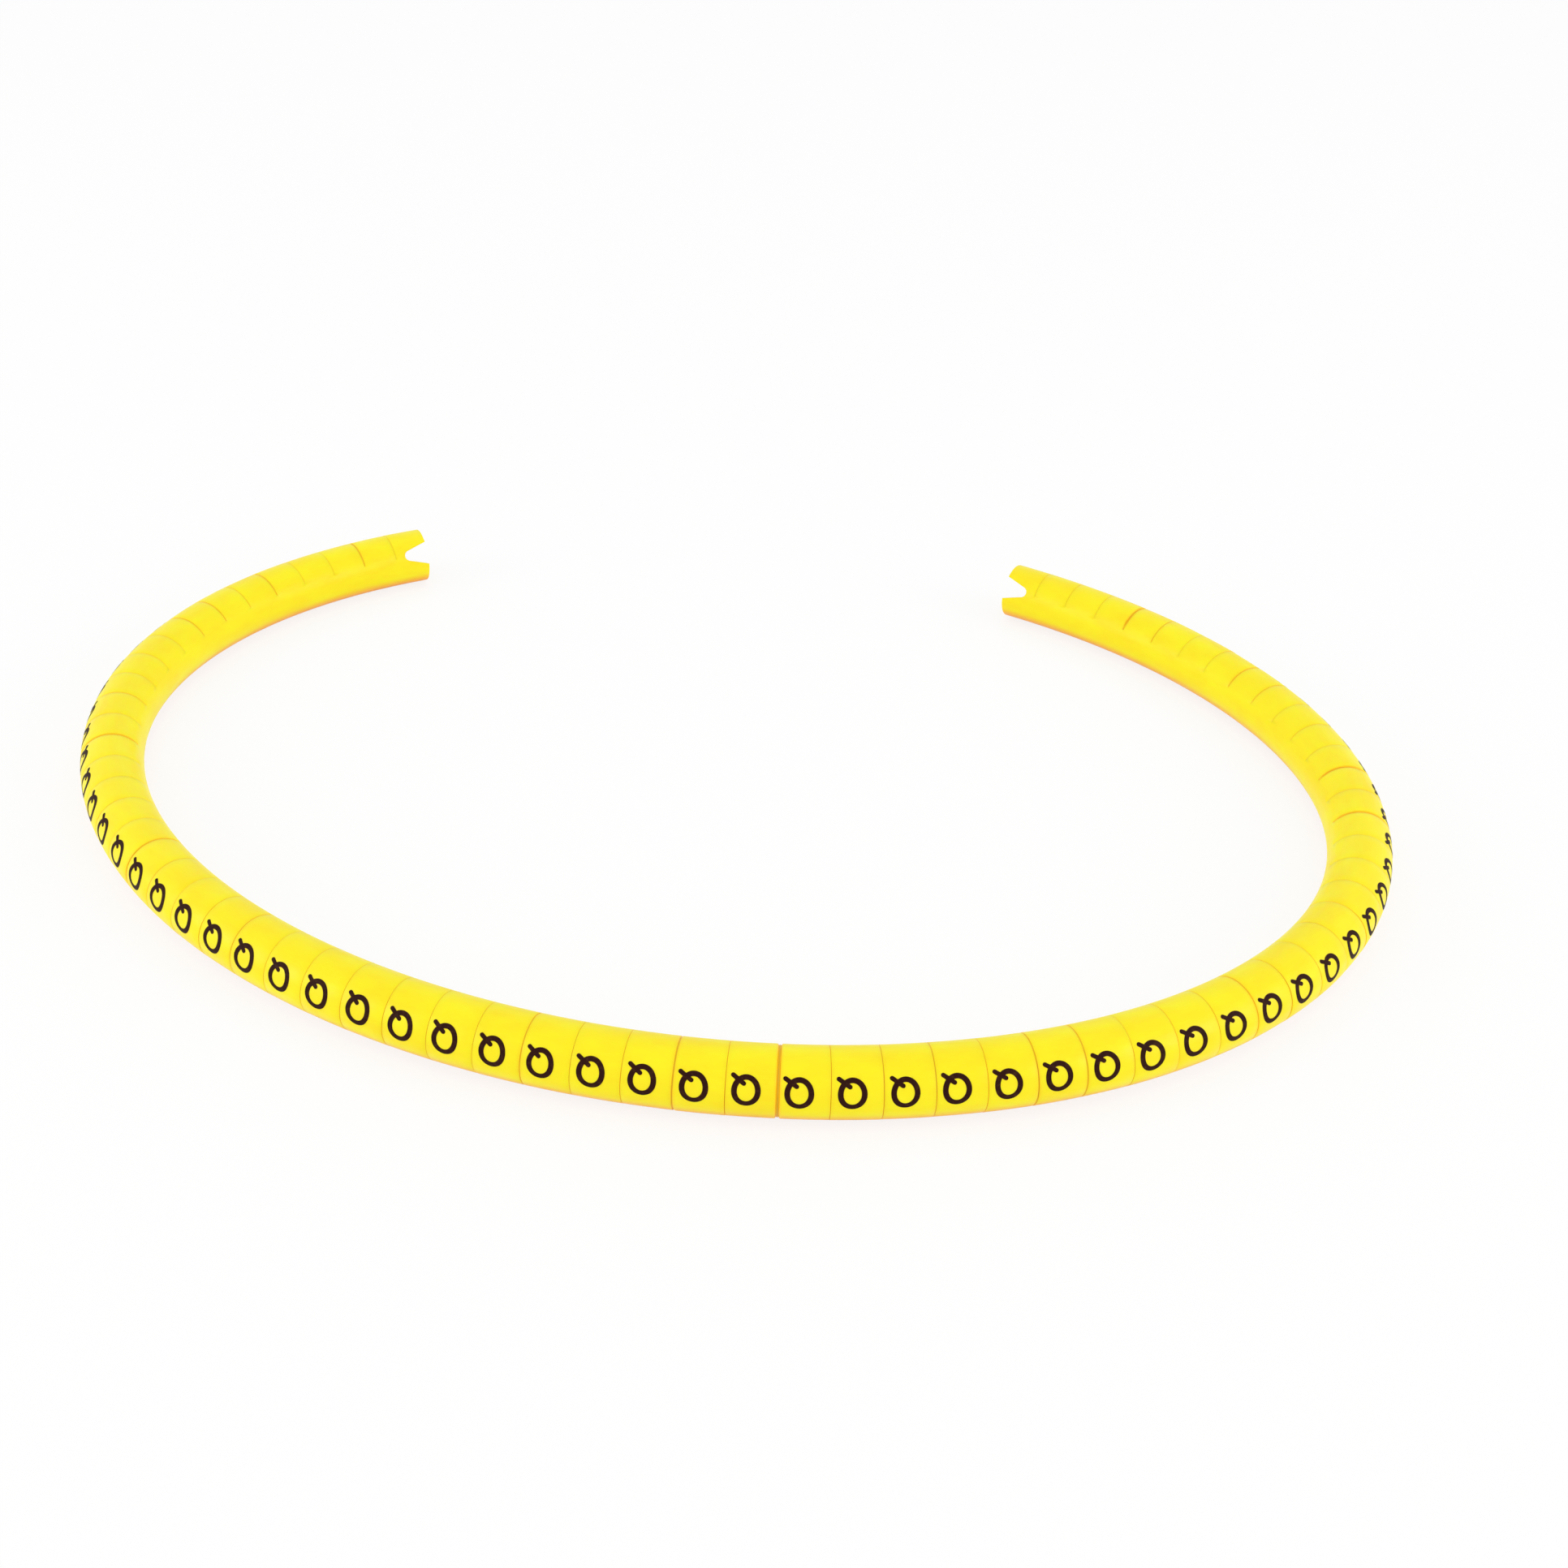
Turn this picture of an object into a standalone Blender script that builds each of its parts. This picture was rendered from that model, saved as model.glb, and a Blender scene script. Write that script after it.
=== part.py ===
"""A strip of wire-marker sleeves: one soft PVC tube, slit nearly through at
every marker, lying curled up in an open ring.

Metres, +Z up. The strip lies on z = 0 and is centred on the origin, with the
ring's long way across along X and its opening towards +Y.
"""
import math

import bmesh
import bpy
from mathutils import Euler, Matrix

# The strip.
MARKER_COUNT = 68
MARKER_LENGTH = 0.004
OUTER_DIAMETER = 0.006
WALL_THICKNESS = 0.0012
SLIT_WIDTH = 0.00015
WEB_THICKNESS = 0.0011

# Where the knife and the legend come from, above the outward level direction.
LEGEND_TILT = math.radians(22.5)

# The rounded V in each end of the strip.
NOTCH_DEPTH = 0.0028
NOTCH_MOUTH = 0.0026
NOTCH_ROOT_RADIUS = 0.0006
NOTCH_TILT = math.radians(30)

# The ring that the strip lies in: a part of an ellipse.
END_GAP = 0.0713
RING_ASPECT = 0.769
MIDDLE_SHIFT = 0.014

# How finely it is made.
SIDES = 16
NOTCH_ROOT_STEPS = 6
PATH_POINTS_PER_MARKER = 2
ELLIPSE_STEPS = 4000
SHARP_ANGLE = math.radians(30)

PVC_YELLOW = (0.95, 0.66, 0.02, 1.0)
PVC_ROUGHNESS = 0.45

OUTER_RADIUS = OUTER_DIAMETER / 2
STRIP_LENGTH = MARKER_COUNT * MARKER_LENGTH
CUT_MARGIN = OUTER_DIAMETER
MERGE_DISTANCE = 1e-6

# Every sleeve is made in the row's second place, and the row moves it to its own.
SLEEVE_START = MARKER_LENGTH
SLEEVE_END = 2 * MARKER_LENGTH


def clear_scene():
    for item in list(bpy.data.objects):
        bpy.data.objects.remove(item, do_unlink=True)


def make_collection(name):
    collection = bpy.data.collections.new(name)
    bpy.context.scene.collection.children.link(collection)
    return collection


def add_object(name, data, collection):
    item = bpy.data.objects.new(name, data)
    collection.objects.link(item)
    return item


def mark_as_guide(item):
    """Keep a cutter, guide or end piece out of the finished model."""
    item.hide_render = True
    item.display_type = "WIRE"


def make_material():
    material = bpy.data.materials.new("yellow_pvc")
    material.use_nodes = True
    shader = material.node_tree.nodes["Principled BSDF"]
    shader.inputs["Base Color"].default_value = PVC_YELLOW
    shader.inputs["Roughness"].default_value = PVC_ROUGHNESS
    shader.inputs["Metallic"].default_value = 0.0
    material.diffuse_color = PVC_YELLOW
    return material


def ellipse_table():
    """Arc length from the front point, with x and y, round a ring of half-width 1."""
    table = []
    length = 0.0
    last = None
    for step in range(ELLIPSE_STEPS + 1):
        angle = math.pi * step / ELLIPSE_STEPS
        x, y = math.sin(angle), -RING_ASPECT * math.cos(angle)
        if last is not None:
            length += math.hypot(x - last[0], y - last[1])
        last = (x, y)
        table.append((length, x, y))
    return table


def ring_points():
    """Points along the middle of the strip, evenly spaced from its first end to its last."""
    table = ellipse_table()
    half_turn = table[-1][0]
    half_width = (STRIP_LENGTH + END_GAP) / (2 * half_turn)
    count = MARKER_COUNT * PATH_POINTS_PER_MARKER
    points = []
    for index in range(count + 1):
        arc = MIDDLE_SHIFT + STRIP_LENGTH * (index / count - 0.5)
        points.append(point_at(table, arc / half_width, half_width))
    return points


def point_at(table, arc, half_width):
    """The ring's point at an arc length, counted both ways from its front point."""
    half_turn = table[-1][0]
    arc = (arc + half_turn) % (2 * half_turn) - half_turn
    low, high = 0, len(table) - 1
    while high - low > 1:
        middle = (low + high) // 2
        if table[middle][0] > abs(arc):
            high = middle
        else:
            low = middle
    share = (abs(arc) - table[low][0]) / (table[high][0] - table[low][0])
    x = table[low][1] + share * (table[high][1] - table[low][1])
    y = table[low][2] + share * (table[high][2] - table[low][2])
    return math.copysign(x, arc) * half_width, y * half_width


def make_path(collection):
    """The ring as a curve whose start is the strip's first end, centred on the origin."""
    points = ring_points()
    centre = [(min(p[axis] for p in points) + max(p[axis] for p in points)) / 2 for axis in (0, 1)]
    curve = bpy.data.curves.new("ring_path", "CURVE")
    curve.dimensions = "3D"
    curve.twist_mode = "Z_UP"
    spline = curve.splines.new("POLY")
    spline.points.add(len(points) - 1)
    for point, (x, y) in zip(spline.points, points):
        point.co = (x - centre[0], y - centre[1], 0.0, 1.0)
    path = add_object("ring_path", curve, collection)
    path.location.z = OUTER_RADIUS
    mark_as_guide(path)
    return path


def add_tube(name, collection):
    """A sleeve's length of tube along X, the flats of its outside and bore one above another."""
    mesh = bpy.data.meshes.new(name)
    shape = bmesh.new()
    corner_radius = OUTER_RADIUS / math.cos(math.pi / SIDES)
    bmesh.ops.create_cone(
        shape, cap_ends=False, segments=SIDES, radius1=corner_radius, radius2=corner_radius,
        depth=MARKER_LENGTH,
    )
    turn = Euler((0, 0, math.pi / SIDES)).to_matrix().to_4x4()
    lie_along_x = Euler((0, math.pi / 2, 0)).to_matrix().to_4x4()
    place = Matrix.Translation(((SLEEVE_START + SLEEVE_END) / 2, 0, 0))
    bmesh.ops.transform(shape, matrix=place @ lie_along_x @ turn, verts=shape.verts)
    shape.to_mesh(mesh)
    shape.free()
    tube = add_object(name, mesh, collection)
    wall = tube.modifiers.new("wall", "SOLIDIFY")
    wall.thickness = WALL_THICKNESS
    wall.offset = -1
    wall.use_even_offset = True
    return tube


def add_slit_cutter(name, x, collection):
    """A knife's cut across the tube, from the legend's side down to the web."""
    mesh = bpy.data.meshes.new(name)
    shape = bmesh.new()
    bmesh.ops.create_cube(shape, size=1.0)
    floor = WEB_THICKNESS - OUTER_RADIUS
    top = OUTER_RADIUS + CUT_MARGIN
    stretch = Matrix.Diagonal((SLIT_WIDTH, 2 * CUT_MARGIN, top - floor, 1))
    lift = Matrix.Translation((0, 0, (top + floor) / 2))
    tip_to_legend = Euler((math.pi / 2 - LEGEND_TILT, 0, 0)).to_matrix().to_4x4()
    place = Matrix.Translation((x, 0, 0))
    bmesh.ops.transform(shape, matrix=place @ tip_to_legend @ lift @ stretch, verts=shape.verts)
    shape.to_mesh(mesh)
    shape.free()
    cutter = add_object(name, mesh, collection)
    mark_as_guide(cutter)
    return cutter


def notch_outline():
    """The rounded V in its own plane: its mouth is at x = 0 and its root at -NOTCH_DEPTH."""
    half_angle = notch_half_angle()
    root_centre = NOTCH_ROOT_RADIUS - NOTCH_DEPTH
    outline = []
    for step in range(NOTCH_ROOT_STEPS + 1):
        sweep = (math.pi / 2 - half_angle) * (2 * step / NOTCH_ROOT_STEPS - 1)
        outline.append((
            root_centre - NOTCH_ROOT_RADIUS * math.cos(sweep),
            NOTCH_ROOT_RADIUS * math.sin(sweep),
        ))
    mouth = NOTCH_MOUTH / 2 + NOTCH_DEPTH * math.tan(half_angle)
    outline += [(NOTCH_DEPTH, mouth), (NOTCH_DEPTH, -mouth)]
    return outline


def notch_half_angle():
    """Half the V's angle, at which its sides are tangent to the rounded root."""
    run = NOTCH_DEPTH - NOTCH_ROOT_RADIUS
    reach = math.hypot(run, NOTCH_MOUTH / 2)
    return math.atan2(NOTCH_MOUTH / 2, run) - math.asin(NOTCH_ROOT_RADIUS / reach)


def add_notch_cutter(name, x, facing, collection):
    """The V as a block through the tube; facing is +1 or -1, the way that its mouth looks."""
    curve = bpy.data.curves.new(name, "CURVE")
    curve.dimensions = "2D"
    curve.fill_mode = "BOTH"
    curve.extrude = CUT_MARGIN
    outline = notch_outline()
    spline = curve.splines.new("POLY")
    spline.points.add(len(outline) - 1)
    for point, (along, across) in zip(spline.points, outline):
        point.co = (along * facing, across * facing, 0.0, 1.0)
    spline.use_cyclic_u = True
    source = add_object(name + "_outline", curve, collection)
    source.rotation_euler = (math.pi / 2 + NOTCH_TILT, 0, 0)
    source.location.x = x
    return mesh_from(source, name, collection)


def mesh_from(source, name, collection):
    """Turn an object into a plain closed mesh object, and remove the source."""
    depsgraph = bpy.context.evaluated_depsgraph_get()
    mesh = bpy.data.meshes.new_from_object(source.evaluated_get(depsgraph))
    shape = bmesh.new()
    shape.from_mesh(mesh)
    bmesh.ops.remove_doubles(shape, verts=shape.verts, dist=MERGE_DISTANCE)
    bmesh.ops.recalc_face_normals(shape, faces=shape.faces)
    shape.to_mesh(mesh)
    shape.free()
    item = add_object(name, mesh, collection)
    item.matrix_world = source.matrix_world.copy()
    bpy.data.objects.remove(source, do_unlink=True)
    mark_as_guide(item)
    return item


def cut(item, cutter):
    boolean = item.modifiers.new("cut_" + cutter.name, "BOOLEAN")
    boolean.operation = "DIFFERENCE"
    boolean.solver = "EXACT"
    boolean.object = cutter


def open_web_end(mesh, x):
    """Take away the web's end face, so that the next marker's web runs on from it."""
    shape = bmesh.new()
    shape.from_mesh(mesh)
    ends = [
        face for face in shape.faces
        if all(abs(vert.co.x - x) < MERGE_DISTANCE for vert in face.verts)
    ]
    bmesh.ops.delete(shape, geom=ends, context="FACES")
    shape.to_mesh(mesh)
    shape.free()


def make_marker(name, cutters, joins_before, joins_after, notch_facing=0):
    """One sleeve of the strip, its web left open where another sleeve follows."""
    blank = add_tube(name + "_blank", cutters)
    if joins_before:
        cut(blank, add_slit_cutter(name + "_slit_before", SLEEVE_START, cutters))
    if joins_after:
        cut(blank, add_slit_cutter(name + "_slit_after", SLEEVE_END, cutters))
    if notch_facing:
        end = SLEEVE_END if notch_facing > 0 else SLEEVE_START
        cut(blank, add_notch_cutter(name + "_notch", end, notch_facing, cutters))
    bpy.context.view_layer.update()
    marker = mesh_from(blank, name, cutters)
    if joins_before:
        open_web_end(marker.data, SLEEVE_START)
    if joins_after:
        open_web_end(marker.data, SLEEVE_END)
    marker.data.shade_smooth()
    marker.data.set_sharp_from_angle(angle=SHARP_ANGLE)
    return marker


def make_strip(parts, cutters, material):
    """All the sleeves in a row, welded at their webs and bent round the ring."""
    middle = make_marker("middle_marker", cutters, True, True)
    first = make_marker("first_marker", cutters, False, True, notch_facing=-1)
    last = make_marker("last_marker", cutters, True, False, notch_facing=1)

    strip = add_object("marker_strip", middle.data.copy(), parts)
    strip.data.materials.append(material)
    strip.location.z = OUTER_RADIUS

    row = strip.modifiers.new("row", "ARRAY")
    row.count = MARKER_COUNT - 2
    row.use_relative_offset = False
    row.use_constant_offset = True
    row.constant_offset_displace = (MARKER_LENGTH, 0, 0)
    row.use_merge_vertices = True
    row.merge_threshold = MERGE_DISTANCE
    row.start_cap = first
    row.end_cap = last

    bend = strip.modifiers.new("bend", "CURVE")
    bend.object = make_path(cutters)
    bend.deform_axis = "POS_X"
    return strip


def main():
    clear_scene()
    parts = make_collection("wire_marker_strip")
    cutters = make_collection("cutters")
    make_strip(parts, cutters, make_material())


main()
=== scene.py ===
"""The looks of a curled strip of wire-marker sleeves: soft yellow tube, knife slits and print.

Metres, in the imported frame: the strip lies on z = 0 with its ring open towards +Y. A point of
the strip is first given in the straight strip, as a distance along it and a place in its section
(out from the ring, and up), and is then bent round the ring with the sleeve that it belongs to.
"""

import math

import bmesh
import bpy
import numpy as np
from mathutils import Matrix, Vector


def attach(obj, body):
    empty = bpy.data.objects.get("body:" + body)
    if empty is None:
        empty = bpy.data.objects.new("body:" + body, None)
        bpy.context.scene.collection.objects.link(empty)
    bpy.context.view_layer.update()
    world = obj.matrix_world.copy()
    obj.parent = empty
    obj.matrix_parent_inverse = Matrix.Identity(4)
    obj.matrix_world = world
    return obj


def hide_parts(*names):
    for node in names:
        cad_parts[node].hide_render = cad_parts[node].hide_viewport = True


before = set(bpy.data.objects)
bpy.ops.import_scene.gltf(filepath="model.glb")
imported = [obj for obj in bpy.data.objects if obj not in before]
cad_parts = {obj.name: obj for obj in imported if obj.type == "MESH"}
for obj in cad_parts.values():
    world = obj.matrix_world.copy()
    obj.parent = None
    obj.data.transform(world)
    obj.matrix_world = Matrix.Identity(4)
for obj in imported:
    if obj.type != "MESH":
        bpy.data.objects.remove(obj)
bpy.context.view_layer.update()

MM_PER_METRE = 1000

# The strip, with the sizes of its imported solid.
MARKER_COUNT = 68
MARKER_LENGTH = 0.004
SOLID_RADIUS = 0.003
BORE_RADIUS = 0.0018
WEB_THICKNESS = 0.0011
LEGEND_TILT = math.radians(22.5)
STRIP_LENGTH = MARKER_COUNT * MARKER_LENGTH

# The ring that it lies in: a part of an ellipse.
END_GAP = 0.0713
RING_ASPECT = 0.769
MIDDLE_SHIFT = 0.014
ELLIPSE_STEPS = 8000

# The rounded V in each end.
NOTCH_DEPTH = 0.0028
NOTCH_MOUTH = 0.0026
NOTCH_ROOT_RADIUS = 0.0006
NOTCH_THROUGH = math.radians(-30)

# The visible sleeves: a little under the solid's radius, so that each may sit unevenly.
SLEEVE_RADIUS = 0.00294
UNEVEN_OUT = 0.00002
UNEVEN_UP = 0.00002
UNEVEN_YAW = math.radians(0.35)
UNEVEN_PITCH = math.radians(0.3)

# The slits. Each pair goes from the tightest slit to the widest, and few are wide: the width
# between the lips, their rounding and the painted orange shade beside them, and how deep they go
# before the soft walls, which spring back after the knife, all but shut.
SLIT_WIDTHS = (0.000015, 0.0003)
LIP_ROUNDINGS = (0.000015, 0.00017)
# Painted shade: how much orange shade is painted beside the lips, from the tightest slit to the
# widest.
PAINTED_LIP_SHADES = (0.05, 1.0)
SHUT_DEPTHS = (0.00003, 0.0001)
SHUT_GAP = 0.000006
WIDE_SLIT_RARITY = 5

# How much of the bend goes into opening the slits on the ring's outer side.
SLIT_OPENING = 0.08

# The strip's end faces are rounded evenly, and a slit's lips less and less near the web.
END_ROUNDING = 0.0001
EDGE_TAPER_STEPS = 3

# How finely a sleeve is made: segments round its cut side, its web and half of each notch.
CUT_SEGMENTS = 52
WEB_SEGMENTS = 20
HALF_NOTCH_SEGMENTS = 7
ROUND_SEGMENTS = CUT_SEGMENTS + WEB_SEGMENTS
FIRST_WEB_POINT = CUT_SEGMENTS + 1
SMOOTH_ANGLE = math.radians(50)
MERGE_DISTANCE = 0.0000001

# The loops from one side of a sleeve to the other. Each row has a loop's share of the way, and
# how far it is moved into the sleeve and towards the tube's axis, in edge roundings.
OUTER_PROFILE = (
    (0, 0, 1), (0, 0.3, 0.3), (0, 1, 0),
    (0.25, 0, 0), (0.5, 0, 0), (0.75, 0, 0),
    (1, 1, 0), (1, 0.3, 0.3), (1, 0, 1),
)
BORE_PROFILE = ((0, 0, -0.5), (0, 0.5, 0), (0.5, 0, 0), (1, 0.5, 0), (1, 0, -0.5))

# The printed legend, seen from outside: a plain capital Q turned half round.
LETTER_HALF_WIDTH = 0.00112
LETTER_HALF_HEIGHT = 0.00132
LETTER_STROKE = 0.00043
LETTER_SHIFT = -0.00038
LETTER_RISE = math.radians(0.3)
TAIL_START = (-0.00105, 0.00120)
TAIL_END = (-0.00020, 0.00058)
TAIL_STROKE = 0.00036
UNEVEN_PRINT = 0.00004
UNEVEN_PRINT_TURN = math.radians(1.6)
UNEVEN_PRINT_SIZE = 0.012

# The film of ink, rooted a little under the sleeve's surface.
INK_HEIGHT = 0.00001
INK_ROOT = -0.000004
INK_SEGMENTS = 56
TAIL_CAP_SEGMENTS = 6

# The section of the bowl's stroke: shares of the stroke inwards, and the height there.
INK_PROFILE = (
    (0, INK_ROOT), (0, INK_HEIGHT), (0.5, INK_HEIGHT), (1, INK_HEIGHT), (1, INK_ROOT),
)

RANDOM_SEED = 360612

# The plastic's linear colours. It turns from light to deep in clouds. Shade is painted into it:
# cut faces take a deeper orange-yellow, and a painted orange shade goes into the slits, beside
# their lips and close to the floor.
PVC_LIGHT = (0.97, 0.85, 0.004, 1)
PVC_DEEP = (0.965, 0.76, 0.002, 1)
# Painted shade: the cut faces, most of them inside the slits, are painted a deeper orange-yellow.
PVC_CUT_PAINTED_SHADE = (0.97, 0.70, 0.004, 1)
# Painted shade: the orange painted where ambient occlusion is low and beside the slits' lips.
PVC_PAINTED_SHADE = (1.0, 0.42, 0.006, 1)
PVC_PAINTED_SHADE_REACH = 0.002
PVC_PAINTED_SHADE_RANGE = (0.45, 1.0)
PVC_LIP_SHADE_REACH_MM = 0.32
PVC_ROUGHNESS = (0.34, 0.46)
PVC_SPECULAR = 0.28
PVC_TRANSLUCENCE = 0.35
PVC_SCATTER_MM = (0.4, 0.2, 0.05)

# The ink's linear colours, where it lies thick and where it lies thin.
INK_DARK = (0.026, 0.006, 0.004, 1)
INK_THIN = (0.050, 0.018, 0.008, 1)
INK_THIN_RANGE = (0.52, 0.72)
INK_ROUGHNESS = (0.4, 0.6)
INK_SPECULAR = 0.06

# Noise, in cells for each millimetre along the strip, out and up, and its usual range.
CLOUD_CELLS = (0.22, 0.5, 0.5)
STREAK_CELLS = (0.12, 5.0, 5.0)
GRAIN_CELLS = (9.0, 9.0, 9.0)
GLOSS_CELLS = (0.3, 2.0, 2.0)
THIN_INK_CELLS = (3.0, 3.0, 3.0)
INK_GRAIN_CELLS = (14.0, 14.0, 14.0)
NOISE_RANGE = (0.3, 0.7)
NOISE_ROUGHNESS = 0.55
SOFT_DETAIL = 3.0
FINE_DETAIL = 2.0

# Bumps: height in metres, and strength.
STREAK_BUMP = (0.00002, 0.35)
GRAIN_BUMP = (0.00001, 0.35)
INK_BUMP = (0.000006, 0.5)

# The studio.
FLOOR_SIZE = 3.0
FLOOR_COLOUR = (0.94, 0.94, 0.94, 1)
FLOOR_ROUGHNESS = 0.9
FLOOR_GLOW_SHARE = 0.83
WORLD_STRENGTH = 0.89
SOFTBOX_PLACES = {"left_softbox": (-0.44, -0.30, 0.20), "right_softbox": (0.52, -0.06, 0.20)}
SOFTBOX_SIZE = 0.26
SOFTBOX_POWER = 0.65

# The camera of the photograph.
PHOTO_WIDTH = 1932
FOCAL_PIXELS = 2500
SENSOR_WIDTH = 36.0
CAMERA_DISTANCE = 0.20248
CAMERA_ELEVATION = math.radians(32.82)
CAMERA_AZIMUTH = math.radians(13.97)
CAMERA_ROLL = math.radians(2.0)
CAMERA_AIM = (0.00587, 0.00268, 0.0)
CAMERA_CLIP = (0.01, 10)


class Ring:
    """The ellipse that the strip follows, by distance from the strip's first end."""

    def __init__(self):
        self.turn = np.linspace(-math.pi, math.pi, ELLIPSE_STEPS + 1)
        x = np.sin(self.turn)
        y = -RING_ASPECT * np.cos(self.turn)
        arc = np.concatenate([[0], np.cumsum(np.hypot(np.diff(x), np.diff(y)))])
        self.half_width = (STRIP_LENGTH + END_GAP) / arc[-1]
        front = arc[ELLIPSE_STEPS // 2]
        self.along = (arc - front) * self.half_width + STRIP_LENGTH / 2 - MIDDLE_SHIFT
        inside = (self.along >= 0) & (self.along <= STRIP_LENGTH)
        points = np.stack([x[inside], y[inside]], 1) * self.half_width
        self.middle = (points.min(0) + points.max(0)) / 2

    def centre(self, along):
        """Points of the centreline, and the level directions out of the ring there."""
        turn = np.interp(along, self.along, self.turn)
        point = np.stack([np.sin(turn), -RING_ASPECT * np.cos(turn)], -1) * self.half_width
        out = np.stack([RING_ASPECT * np.sin(turn), -np.cos(turn)], -1)
        out /= np.linalg.norm(out, axis=-1, keepdims=True)
        return point - self.middle, out

    def curvature(self, along):
        turn = np.interp(along, self.along, self.turn)
        stretch = np.cos(turn) ** 2 + (RING_ASPECT * np.sin(turn)) ** 2
        return RING_ASPECT / (self.half_width * stretch ** 1.5)


class Unevenness:
    """How each sleeve, the slit after it and its print differ, the same at every run."""

    def __init__(self):
        rng = np.random.default_rng(RANDOM_SEED)
        self.out = rng.uniform(-UNEVEN_OUT, UNEVEN_OUT, MARKER_COUNT)
        self.up = rng.uniform(-UNEVEN_UP, UNEVEN_UP, MARKER_COUNT)
        self.yaw = rng.uniform(-UNEVEN_YAW, UNEVEN_YAW, MARKER_COUNT)
        self.pitch = rng.uniform(-UNEVEN_PITCH, UNEVEN_PITCH, MARKER_COUNT)
        openness = rng.uniform(0, 1, MARKER_COUNT) ** WIDE_SLIT_RARITY
        self.slit_width = np.interp(openness, (0, 1), SLIT_WIDTHS)
        self.lip_rounding = np.interp(openness, (0, 1), LIP_ROUNDINGS)
        self.painted_lip_shade = np.interp(openness, (0, 1), PAINTED_LIP_SHADES)
        self.shut_depth = np.interp(openness, (0, 1), SHUT_DEPTHS)
        self.print_place = rng.uniform(-UNEVEN_PRINT, UNEVEN_PRINT, (MARKER_COUNT, 2))
        self.print_turn = rng.uniform(-UNEVEN_PRINT_TURN, UNEVEN_PRINT_TURN, MARKER_COUNT)
        self.print_size = 1 + rng.uniform(-UNEVEN_PRINT_SIZE, UNEVEN_PRINT_SIZE, MARKER_COUNT)


RING = Ring()
UNEVEN = Unevenness()


def bend(along, out, up, sleeve):
    """World places of points of the straight strip, as arrays, each with its sleeve's number.

    A sleeve sits unevenly on its legend's side, and the web on the other side holds it in place.
    """
    middle = (sleeve + 0.5) * MARKER_LENGTH
    away = along - middle
    spread = 1 + SLIT_OPENING * RING.curvature(middle) * np.maximum(out, 0)
    centre, outward = RING.centre(middle + away / spread)
    towards_legend = out * math.cos(LEGEND_TILT) + up * math.sin(LEGEND_TILT)
    loose = ((1 + towards_legend / SLEEVE_RADIUS) / 2) ** 2
    out = out + loose * (UNEVEN.out[sleeve] + away * UNEVEN.yaw[sleeve])
    up = up + loose * (UNEVEN.up[sleeve] + away * UNEVEN.pitch[sleeve])
    level = centre + outward * out[..., None]
    height = SOLID_RADIUS + up
    return np.concatenate([level, height[..., None]], -1)


def slit_angles():
    """Angles above the outward level round a section, first the cut side and then the web."""
    half_web = math.acos((SLEEVE_RADIUS - WEB_THICKNESS) / SLEEVE_RADIUS)
    cut_side = np.linspace(half_web - math.pi, math.pi - half_web, CUT_SEGMENTS + 1)
    web = np.linspace(math.pi - half_web, math.pi + half_web, WEB_SEGMENTS + 1)
    return LEGEND_TILT + np.concatenate([cut_side, web[1:-1]])


def web_top_radius(angles):
    """How far from the bore's axis the slit's straight bottom lies, at angles within the web."""
    return (SLEEVE_RADIUS - WEB_THICKNESS) / np.cos(angles - LEGEND_TILT - math.pi)


def notch_half_angle():
    """Half the V's angle, at which its sides are tangent to the rounded root."""
    run = NOTCH_DEPTH - NOTCH_ROOT_RADIUS
    reach = math.hypot(run, NOTCH_MOUTH / 2)
    return math.atan2(NOTCH_MOUTH / 2, run) - math.asin(NOTCH_ROOT_RADIUS / reach)


def notch_depth_at(across):
    """How far the V goes in at a distance to the side of its middle."""
    half_angle = notch_half_angle()
    across = np.abs(across)
    side = (NOTCH_MOUTH / 2 - across) / math.tan(half_angle)
    root_centre = NOTCH_DEPTH - NOTCH_ROOT_RADIUS
    root = root_centre + np.sqrt(np.maximum(NOTCH_ROOT_RADIUS ** 2 - across ** 2, 0))
    in_root = across < NOTCH_ROOT_RADIUS * math.cos(half_angle)
    return np.maximum(np.where(in_root, root, side), 0)


def notched_end(radius, near):
    """Angles round a notched end, near those given, and how far it goes in at each.

    Points are closest together in the V, which the end has at two opposite places.
    """
    half_ring = ROUND_SEGMENTS // 2
    notch_half = math.asin(NOTCH_MOUTH / 2 / radius)
    first = int(np.argmin(np.abs(near - NOTCH_THROUGH)))
    angles = np.empty(ROUND_SEGMENTS)
    across = np.empty(ROUND_SEGMENTS)
    for index in range(ROUND_SEGMENTS):
        lobe, within = divmod((index - first) % ROUND_SEGMENTS, half_ring)
        if within <= HALF_NOTCH_SEGMENTS:
            share = within / HALF_NOTCH_SEGMENTS
            turn = math.asin(share * math.sin(notch_half))
        elif within >= half_ring - HALF_NOTCH_SEGMENTS:
            share = (half_ring - within) / HALF_NOTCH_SEGMENTS
            turn = math.pi - math.asin(share * math.sin(notch_half))
        else:
            share = (within - HALF_NOTCH_SEGMENTS) / (half_ring - 2 * HALF_NOTCH_SEGMENTS)
            turn = notch_half + share * (math.pi - 2 * notch_half)
        angles[index] = NOTCH_THROUGH + lobe * math.pi + turn
        across[index] = radius * math.sin(turn)
    angles += 2 * math.pi * np.round((near - angles) / (2 * math.pi))
    return angles, notch_depth_at(across)


def off_the_web():
    """For each point round a slit, 1 where it is cut, easing to 0 where the web runs on."""
    index = np.arange(ROUND_SEGMENTS)
    steps_from_web = np.minimum(index, CUT_SEGMENTS - index)
    return np.clip(steps_from_web / EDGE_TAPER_STEPS, 0, 1)


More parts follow.
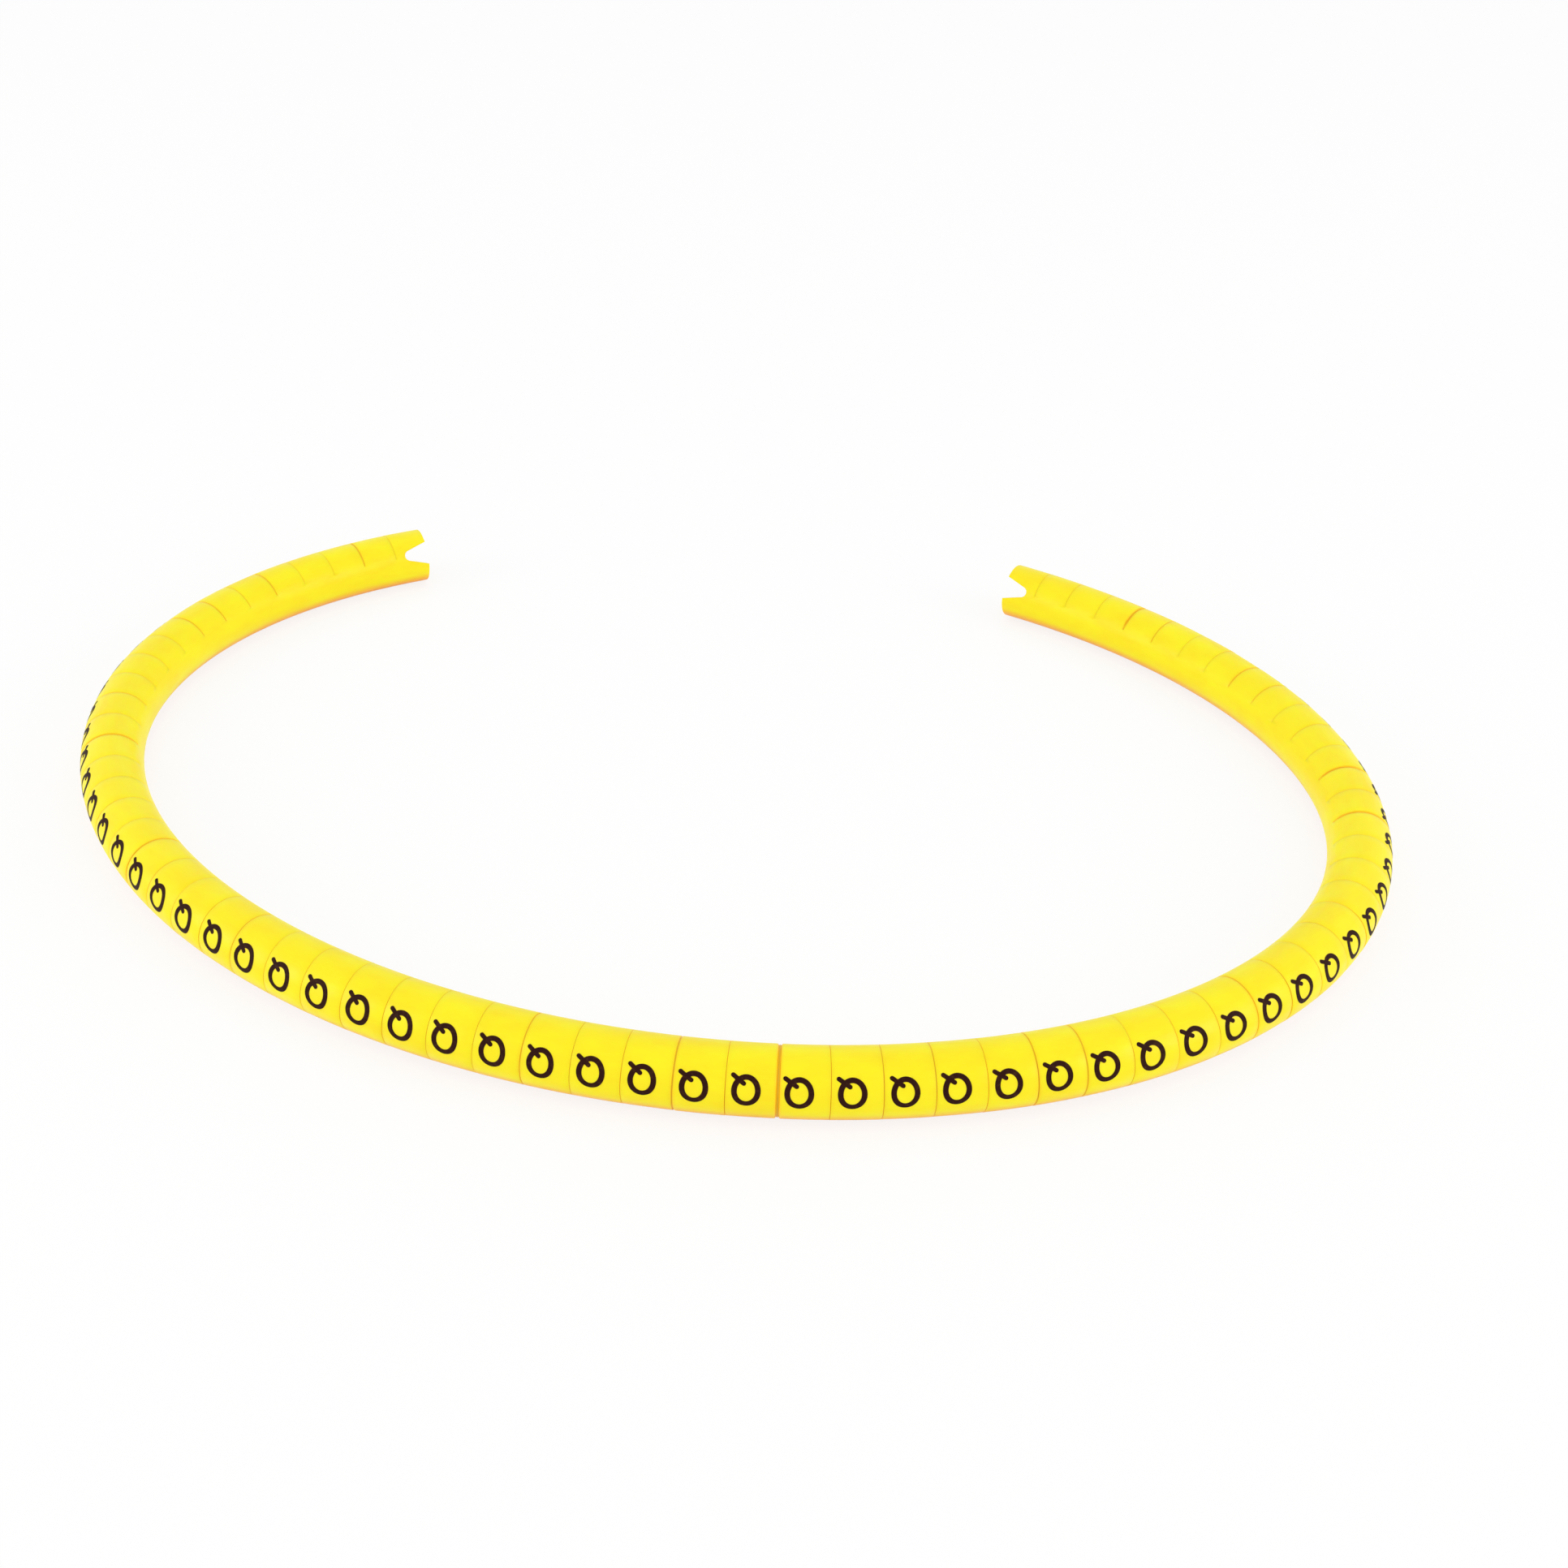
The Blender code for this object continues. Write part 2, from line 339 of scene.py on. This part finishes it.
class SleeveSide:
    """One side of a sleeve: a notched end of the strip, or a face of the slit beside it."""

    def __init__(self, sleeve, inwards, angles):
        self.sleeve = sleeve
        self.inwards = inwards
        self.angles = angles
        at_start = inwards > 0
        slit = sleeve - 1 if at_start else sleeve
        self.is_free = slit in (-1, MARKER_COUNT - 1)
        if self.is_free:
            self.gap = 0
            self.rounding = np.full(ROUND_SEGMENTS, END_ROUNDING)
            self.tone = np.zeros(ROUND_SEGMENTS)
            self.shut_depth = 0
        else:
            self.gap = UNEVEN.slit_width[slit] / 2
            self.rounding = UNEVEN.lip_rounding[slit] * off_the_web()
            # How much painted orange shade these lips take, none where the web runs on.
            self.tone = UNEVEN.painted_lip_shade[slit] * off_the_web()
            self.shut_depth = UNEVEN.shut_depth[slit]
        boundary = (sleeve if at_start else sleeve + 1) * MARKER_LENGTH
        self.plane = boundary + inwards * self.gap

    def outline(self, radius):
        """Places along the strip, and angles, of the points round this side."""
        if self.is_free:
            angles, depth = notched_end(radius, self.angles)
            return self.plane + self.inwards * depth, angles
        return np.full(ROUND_SEGMENTS, self.plane), self.angles


class StripMesh:
    """Collects the sleeves' points, as places in the straight strip, and their faces."""

    def __init__(self):
        self.points = []
        self.sleeves = []
        self.painted_shades = []
        self.faces = []
        self.face_kinds = []
        self.angles = slit_angles()

    def add_loop(self, sleeve, tone, along, radius, angles):
        first = sum(len(block) for block in self.points)
        along = np.broadcast_to(along, angles.shape)
        radius = np.broadcast_to(radius, angles.shape)
        block = np.stack([along, radius * np.cos(angles), radius * np.sin(angles)], 1)
        self.points.append(block)
        self.sleeves.append(np.full(len(block), sleeve))
        self.painted_shades.append(np.broadcast_to(tone, angles.shape))
        return list(range(first, first + len(block)))

    def add_band(self, one, other, kind, segments=None):
        """Quads between two loops, all the way round or on some of their segments."""
        count = len(one)
        for index in segments if segments is not None else range(count):
            after = (index + 1) % count
            self.faces.append((one[index], one[after], other[after], other[index]))
            self.face_kinds.append(kind)

    def add_sleeve(self, sleeve):
        """One sleeve, and the loops that its neighbours join at each side: (outside, web top)."""
        sides = (SleeveSide(sleeve, 1, self.angles), SleeveSide(sleeve, -1, self.angles))
        outer = self.add_surface(sides, SLEEVE_RADIUS, OUTER_PROFILE)
        bore = self.add_surface(sides, BORE_RADIUS, BORE_PROFILE)
        seams = []
        for side, outer_edge, bore_edge in zip(sides, (outer[0], outer[-1]), (bore[0], bore[-1])):
            if side.is_free:
                self.add_band(outer_edge, bore_edge, "cut")
                seams.append((outer_edge, outer_edge))
            else:
                edge = self.add_web_top(side, outer_edge)
                shut = self.add_shut_line(side)
                self.add_band(edge, shut, "cut")
                self.add_band(shut, bore_edge, "cut")
                seams.append((outer_edge, edge))
        return seams

    def add_surface(self, sides, radius, profile):
        """The outside or the bore, as loops from one side to the other along a profile."""
        (start, start_angles), (end, end_angles) = (side.outline(radius) for side in sides)
        loops = []
        for share, inset, sink in profile:
            side = sides[0] if share < 0.5 else sides[1]
            along = start + share * (end - start) + side.inwards * inset * side.rounding
            level = radius - sink * side.rounding
            angles = start_angles + share * (end_angles - start_angles)
            tone = sides[0].tone + share * (sides[1].tone - sides[0].tone)
            loops.append(self.add_loop(side.sleeve, tone, along, level, angles))
        for one, other in zip(loops, loops[1:]):
            self.add_band(one, other, "skin")
        return loops

    def add_web_top(self, side, edge):
        """The edge, with the slit's straight bottom in the place of its part on the web."""
        angles = self.angles[FIRST_WEB_POINT:]
        bottom = self.add_loop(side.sleeve, 0, side.plane, web_top_radius(angles), angles)
        return edge[:FIRST_WEB_POINT] + bottom

    def add_shut_line(self, side):
        """The line round a cut face along which it all but meets its neighbour's."""
        edge = np.full(ROUND_SEGMENTS, SLEEVE_RADIUS)
        edge[FIRST_WEB_POINT:] = web_top_radius(self.angles[FIRST_WEB_POINT:])
        radius = np.maximum(edge - side.shut_depth, (edge + BORE_RADIUS) / 2)
        plane = side.plane - side.inwards * (side.gap - SHUT_GAP / 2)
        return self.add_loop(side.sleeve, side.tone, plane, radius, self.angles)

    def join(self, before, after):
        """The web between two sleeves: its outside, and its top at the bottom of the slit."""
        web = range(CUT_SEGMENTS, ROUND_SEGMENTS)
        self.add_band(before[0], after[0], "skin", web)
        self.add_band(before[1], after[1], "cut", web)


def mesh_object(name, points, faces, material):
    mesh = bpy.data.meshes.new(name)
    mesh.from_pydata(points.tolist(), [], faces)
    mesh.materials.append(material)
    item = bpy.data.objects.new(name, mesh)
    bpy.context.scene.collection.objects.link(item)
    return item


def clean_mesh(mesh):
    """Merge points that lie on each other, drop what that leaves flat, and turn the faces out."""
    shape = bmesh.new()
    shape.from_mesh(mesh)
    bmesh.ops.remove_doubles(shape, verts=shape.verts, dist=MERGE_DISTANCE)
    bmesh.ops.recalc_face_normals(shape, faces=shape.faces)
    shape.to_mesh(mesh)
    shape.free()


def store_straight_places(mesh, places):
    """Keep each point's place in the straight strip, in millimetres, for the materials."""
    layer = mesh.attributes.new("straight_mm", "FLOAT_VECTOR", "POINT")
    layer.data.foreach_set("vector", (places * MM_PER_METRE).astype(np.float32).ravel())


def store_numbers(mesh, name, domain, values):
    """Keep a number for each point or face, for the materials."""
    layer = mesh.attributes.new(name, "FLOAT", domain)
    layer.data.foreach_set("value", np.array(values, np.float32))


def make_sleeves(material):
    strip = StripMesh()
    before = None
    for sleeve in range(MARKER_COUNT):
        start, end = strip.add_sleeve(sleeve)
        if before is not None:
            strip.join(before, start)
        before = end
    places = np.concatenate(strip.points)
    sleeves = np.concatenate(strip.sleeves)
    points = bend(places[:, 0], places[:, 1], places[:, 2], sleeves)
    item = mesh_object("marker_sleeves", points, strip.faces, material)
    store_straight_places(item.data, places)
    # The painted shade beside each slit, for the material.
    store_numbers(item.data, "painted_lip_shade", "POINT", np.concatenate(strip.painted_shades))
    store_numbers(item.data, "is_cut", "FACE", [kind == "cut" for kind in strip.face_kinds])
    clean_mesh(item.data)
    item.data.shade_smooth()
    item.data.set_sharp_from_angle(angle=SMOOTH_ANGLE)
    normals = item.modifiers.new("even_normals", "WEIGHTED_NORMAL")
    normals.keep_sharp = True
    return item


def letter_bowl():
    """The bowl of the legend as a flat closed ring of ink, round an ellipse."""
    angles = np.linspace(0, 2 * math.pi, INK_SEGMENTS, endpoint=False)
    loops = []
    for inset, height in INK_PROFILE:
        wide = LETTER_HALF_WIDTH - inset * LETTER_STROKE
        high = LETTER_HALF_HEIGHT - inset * LETTER_STROKE
        flat = np.full(INK_SEGMENTS, height)
        loops.append(np.stack([wide * np.cos(angles), high * np.sin(angles), flat], 1))
    faces = []
    for row in range(len(loops)):
        below = row * INK_SEGMENTS
        above = (row + 1) % len(loops) * INK_SEGMENTS
        for index in range(INK_SEGMENTS):
            after = (index + 1) % INK_SEGMENTS
            faces.append((below + index, below + after, above + after, above + index))
    return np.concatenate(loops), faces


def letter_tail():
    """The tail of the legend: a short bar with round ends."""
    start = Vector(TAIL_START)
    end = Vector(TAIL_END)
    heading = math.atan2(end.y - start.y, end.x - start.x)
    reach = TAIL_STROKE / 2
    outline = []
    for centre, facing in ((end, heading), (start, heading + math.pi)):
        for step in range(TAIL_CAP_SEGMENTS + 1):
            angle = facing + math.pi * (step / TAIL_CAP_SEGMENTS - 0.5)
            outline.append((centre.x + reach * math.cos(angle), centre.y + reach * math.sin(angle)))
    count = len(outline)
    points = [(x, y, height) for height in (INK_ROOT, INK_HEIGHT) for x, y in outline]
    faces = [tuple(reversed(range(count))), tuple(range(count, 2 * count))]
    for index in range(count):
        after = (index + 1) % count
        faces.append((index, after, count + after, count + index))
    return np.array(points), faces


def letter_shape():
    """One legend, its bowl and tail joined in millimetres: its points in metres, and triangles."""
    pieces = []
    for name, (points, faces) in (("bowl", letter_bowl()), ("tail", letter_tail())):
        mesh = bpy.data.meshes.new(name)
        mesh.from_pydata((points * MM_PER_METRE).tolist(), [], faces)
        clean_mesh(mesh)
        item = bpy.data.objects.new(name, mesh)
        bpy.context.scene.collection.objects.link(item)
        pieces.append(item)
    bowl, tail = pieces
    union = bowl.modifiers.new("join_tail", "BOOLEAN")
    union.operation = "UNION"
    union.solver = "EXACT"
    union.object = tail
    depsgraph = bpy.context.evaluated_depsgraph_get()
    joined = bpy.data.meshes.new_from_object(bowl.evaluated_get(depsgraph))
    shape = bmesh.new()
    shape.from_mesh(joined)
    bmesh.ops.triangulate(shape, faces=shape.faces)
    points = np.array([vert.co[:] for vert in shape.verts]) / MM_PER_METRE
    faces = [tuple(vert.index for vert in face.verts) for face in shape.faces]
    shape.free()
    for item in pieces:
        bpy.data.objects.remove(item, do_unlink=True)
    return points, faces


def make_print(material):
    """The legends: a thin film of ink on every sleeve, each printed a little differently."""
    letter, letter_faces = letter_shape()
    places = []
    sleeves = []
    faces = []
    for sleeve in range(MARKER_COUNT):
        cos = math.cos(UNEVEN.print_turn[sleeve])
        sin = math.sin(UNEVEN.print_turn[sleeve])
        flat = letter[:, :2] @ np.array([[cos, sin], [-sin, cos]]) * UNEVEN.print_size[sleeve]
        flat += UNEVEN.print_place[sleeve] + (LETTER_SHIFT, 0)
        radius = SLEEVE_RADIUS + letter[:, 2]
        angle = LEGEND_TILT + LETTER_RISE + flat[:, 1] / SLEEVE_RADIUS
        along = (sleeve + 0.5) * MARKER_LENGTH + flat[:, 0]
        first = sleeve * len(letter)
        places.append(np.stack([along, radius * np.cos(angle), radius * np.sin(angle)], 1))
        sleeves.append(np.full(len(letter), sleeve))
        faces += [tuple(first + index for index in face) for face in letter_faces]
    places = np.concatenate(places)
    points = bend(places[:, 0], places[:, 1], places[:, 2], np.concatenate(sleeves))
    item = mesh_object("printed_legends", points, faces, material)
    store_straight_places(item.data, places)
    clean_mesh(item.data)
    return item


class Nodes:
    """Short ways to build a node material."""

    # Where a Mix node has its sockets for colours.
    MIX_FACTOR = 0
    MIX_COLOURS = (6, 7)
    MIX_RESULT = 2

    def __init__(self, name):
        self.material = bpy.data.materials.new(name)
        self.material.use_nodes = True
        self.tree = self.material.node_tree
        self.shader = self.tree.nodes["Principled BSDF"]
        self.output = self.tree.nodes["Material Output"]

    def add(self, kind, **settings):
        node = self.tree.nodes.new(kind)
        for key, value in settings.items():
            setattr(node, key, value)
        return node

    def link(self, source, target):
        self.tree.links.new(source, target)

    def set(self, **values):
        """Set the shader's own sockets; an underscore stands for a space in their names."""
        for key, value in values.items():
            self.shader.inputs[key.replace("_", " ")].default_value = value

    def combine(self, operation, first, second):
        """Join two sockets, or a socket and a number."""
        node = self.add("ShaderNodeMath", operation=operation)
        self.link(first, node.inputs[0])
        if isinstance(second, (int, float)):
            node.inputs[1].default_value = second
        else:
            self.link(second, node.inputs[1])
        return node.outputs[0]

    def attribute(self, name, output="Fac"):
        return self.add("ShaderNodeAttribute", attribute_name=name).outputs[output]

    def straight(self, stretch):
        """Places in the straight strip, in millimetres, scaled along it, out and up."""
        scaling = self.add("ShaderNodeVectorMath", operation="MULTIPLY")
        scaling.inputs[1].default_value = stretch
        self.link(self.attribute("straight_mm", "Vector"), scaling.inputs[0])
        return scaling.outputs["Vector"]

    def noise(self, cells, detail=SOFT_DETAIL):
        node = self.add("ShaderNodeTexNoise")
        node.inputs["Scale"].default_value = 1.0
        node.inputs["Detail"].default_value = detail
        node.inputs["Roughness"].default_value = NOISE_ROUGHNESS
        self.link(self.straight(cells), node.inputs["Vector"])
        return node.outputs["Fac"]

    def spread(self, source, span, target=(0, 1)):
        """Map a span of values to another."""
        node = self.add("ShaderNodeMapRange")
        for key, value in zip(("From Min", "From Max", "To Min", "To Max"), span + target):
            node.inputs[key].default_value = value
        self.link(source, node.inputs["Value"])
        return node.outputs["Result"]

    def blend(self, factor, first, second):
        """Mix two colours, each a colour or a socket."""
        node = self.add("ShaderNodeMix", data_type="RGBA")
        self.link(factor, node.inputs[self.MIX_FACTOR])
        for place, colour in zip(self.MIX_COLOURS, (first, second)):
            if isinstance(colour, tuple):
                node.inputs[place].default_value = colour
            else:
                self.link(colour, node.inputs[place])
        return node.outputs[self.MIX_RESULT]

    def beside_slit(self, reach_mm):
        """1 at a slit, down to 0 at a distance from it along the strip."""
        part = self.add("ShaderNodeSeparateXYZ")
        self.link(self.straight((1, 1, 1)), part.inputs["Vector"])
        away = self.combine("PINGPONG", part.outputs["X"], MARKER_LENGTH * MM_PER_METRE / 2)
        return self.spread(away, (0, reach_mm), (1, 0))

    def openness(self, distance):
        """1 on an open surface, down to 0 deep in a slit or where the floor is close."""
        node = self.add("ShaderNodeAmbientOcclusion")
        node.inputs["Distance"].default_value = distance
        return node.outputs["AO"]

    def bump(self, source, height, strength, under=None):
        node = self.add("ShaderNodeBump")
        node.inputs["Distance"].default_value = height
        node.inputs["Strength"].default_value = strength
        self.link(source, node.inputs["Height"])
        if under is not None:
            self.link(under, node.inputs["Normal"])
        return node.outputs["Normal"]


def yellow_pvc():
    """Soft extruded PVC: bright yellow, satin, a little translucent, with faint drawing lines."""
    nodes = Nodes("soft_yellow_pvc")
    clouds = nodes.spread(nodes.noise(CLOUD_CELLS), NOISE_RANGE)
    body = nodes.blend(clouds, PVC_LIGHT, PVC_DEEP)
    # Painted shade: cut faces are painted a deeper orange-yellow.
    surface = nodes.blend(nodes.attribute("is_cut"), body, PVC_CUT_PAINTED_SHADE)
    # Painted shade: orange where ambient occlusion finds a slit or the floor close by.
    painted_shade_in_hollows = nodes.spread(nodes.openness(PVC_PAINTED_SHADE_REACH), PVC_PAINTED_SHADE_RANGE, (1, 0))
    # Painted shade beside each slit's lips, stronger at wider slits.
    beside = nodes.beside_slit(PVC_LIP_SHADE_REACH_MM)
    painted_shade_at_lip = nodes.combine("MULTIPLY", beside, nodes.attribute("painted_lip_shade"))
    shade = nodes.combine("MAXIMUM", painted_shade_in_hollows, painted_shade_at_lip)
    nodes.link(nodes.blend(shade, surface, PVC_PAINTED_SHADE), nodes.shader.inputs["Base Color"])
    streaks = nodes.noise(STREAK_CELLS, FINE_DETAIL)
    grain = nodes.noise(GRAIN_CELLS, FINE_DETAIL)
    normal = nodes.bump(streaks, *STREAK_BUMP, under=nodes.bump(grain, *GRAIN_BUMP))
    nodes.link(normal, nodes.shader.inputs["Normal"])
    gloss = nodes.spread(nodes.noise(GLOSS_CELLS), NOISE_RANGE, PVC_ROUGHNESS)
    nodes.link(gloss, nodes.shader.inputs["Roughness"])
    nodes.set(
        Specular_IOR_Level=PVC_SPECULAR, Subsurface_Weight=PVC_TRANSLUCENCE,
        Subsurface_Radius=PVC_SCATTER_MM, Subsurface_Scale=1 / MM_PER_METRE,
    )
    return nodes.material


def legend_ink():
    """Near-black ink, a little brown where it lies thin."""
    nodes = Nodes("black_legend_ink")
    thin = nodes.spread(nodes.noise(THIN_INK_CELLS), INK_THIN_RANGE)
    nodes.link(nodes.blend(thin, INK_DARK, INK_THIN), nodes.shader.inputs["Base Color"])
    grain = nodes.noise(INK_GRAIN_CELLS, FINE_DETAIL)
    nodes.link(nodes.bump(grain, *INK_BUMP), nodes.shader.inputs["Normal"])
    gloss = nodes.spread(grain, NOISE_RANGE, INK_ROUGHNESS)
    nodes.link(gloss, nodes.shader.inputs["Roughness"])
    nodes.set(Specular_IOR_Level=INK_SPECULAR)
    return nodes.material


def seen_or_reflected(tree):
    """1 for the rays by which the background is seen, directly, in gloss or through glass."""
    path = tree.nodes.new("ShaderNodeLightPath")
    total = path.outputs["Is Camera Ray"]
    for name in ("Is Glossy Ray", "Is Transmission Ray"):
        both = tree.nodes.new("ShaderNodeMath")
        both.operation = "MAXIMUM"
        tree.links.new(total, both.inputs[0])
        tree.links.new(path.outputs[name], both.inputs[1])
        total = both.outputs[0]
    return total


def make_floor():
    """A pale floor that reads as white, and still takes the strip's soft shadow."""
    nodes = Nodes("white_floor")
    nodes.set(Base_Color=FLOOR_COLOUR, Roughness=FLOOR_ROUGHNESS, Specular_IOR_Level=0.0)
    glow = nodes.add("ShaderNodeEmission")
    share = nodes.combine("MULTIPLY", seen_or_reflected(nodes.tree), FLOOR_GLOW_SHARE)
    both = nodes.add("ShaderNodeMixShader")
    nodes.link(share, both.inputs["Fac"])
    nodes.link(nodes.shader.outputs[0], both.inputs[1])
    nodes.link(glow.outputs[0], both.inputs[2])
    nodes.link(both.outputs[0], nodes.output.inputs["Surface"])
    half = FLOOR_SIZE / 2
    corners = np.array([(-half, -half, 0), (half, -half, 0), (half, half, 0), (-half, half, 0)])
    floor = mesh_object("floor", corners, [(0, 1, 2, 3)], nodes.material)


def make_world():
    """Even light from all round, behind which the background is plain white."""
    world = bpy.data.worlds.new("studio_white")
    world.use_nodes = True
    tree = world.node_tree
    background = tree.nodes["Background"]
    background.inputs["Color"].default_value = (1, 1, 1, 1)
    strength = tree.nodes.new("ShaderNodeMapRange")
    strength.inputs["To Min"].default_value = WORLD_STRENGTH
    strength.inputs["To Max"].default_value = 1.0
    tree.links.new(seen_or_reflected(tree), strength.inputs["Value"])
    tree.links.new(strength.outputs["Result"], background.inputs["Strength"])
    bpy.context.scene.world = world


def add_softbox(name, place):
    """A square lamp that faces the strip's middle."""
    light = bpy.data.lights.new(name, "AREA")
    light.shape = "SQUARE"
    light.size = SOFTBOX_SIZE
    light.energy = SOFTBOX_POWER
    item = bpy.data.objects.new(name, light)
    item.location = place
    item.rotation_euler = (-Vector(place)).to_track_quat("-Z", "Y").to_euler()
    bpy.context.scene.collection.objects.link(item)


def make_camera():
    """The photograph's camera: at a distance from its aim, and rolled a little."""
    level = math.cos(CAMERA_ELEVATION)
    back = Vector((
        math.sin(CAMERA_AZIMUTH) * level, -math.cos(CAMERA_AZIMUTH) * level,
        math.sin(CAMERA_ELEVATION),
    ))
    data = bpy.data.cameras.new("camera")
    data.sensor_width = SENSOR_WIDTH
    data.lens = SENSOR_WIDTH * FOCAL_PIXELS / PHOTO_WIDTH
    data.clip_start, data.clip_end = CAMERA_CLIP
    camera = bpy.data.objects.new("camera", data)
    facing = (-back).to_track_quat("-Z", "Y").to_matrix()
    roll = Matrix.Rotation(CAMERA_ROLL, 3, "Z")
    camera.matrix_world = (facing @ roll).to_4x4()
    camera.location = Vector(CAMERA_AIM) + back * CAMERA_DISTANCE
    bpy.context.scene.collection.objects.link(camera)
    bpy.context.scene.camera = camera


make_camera()
make_world()
make_floor()
for softbox, place in SOFTBOX_PLACES.items():
    add_softbox(softbox, place)

sleeves = make_sleeves(yellow_pvc())
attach(sleeves, "root")
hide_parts("marker_strip")

legends = make_print(legend_ink())
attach(legends, "root")

bpy.context.scene.view_settings.view_transform = "Standard"
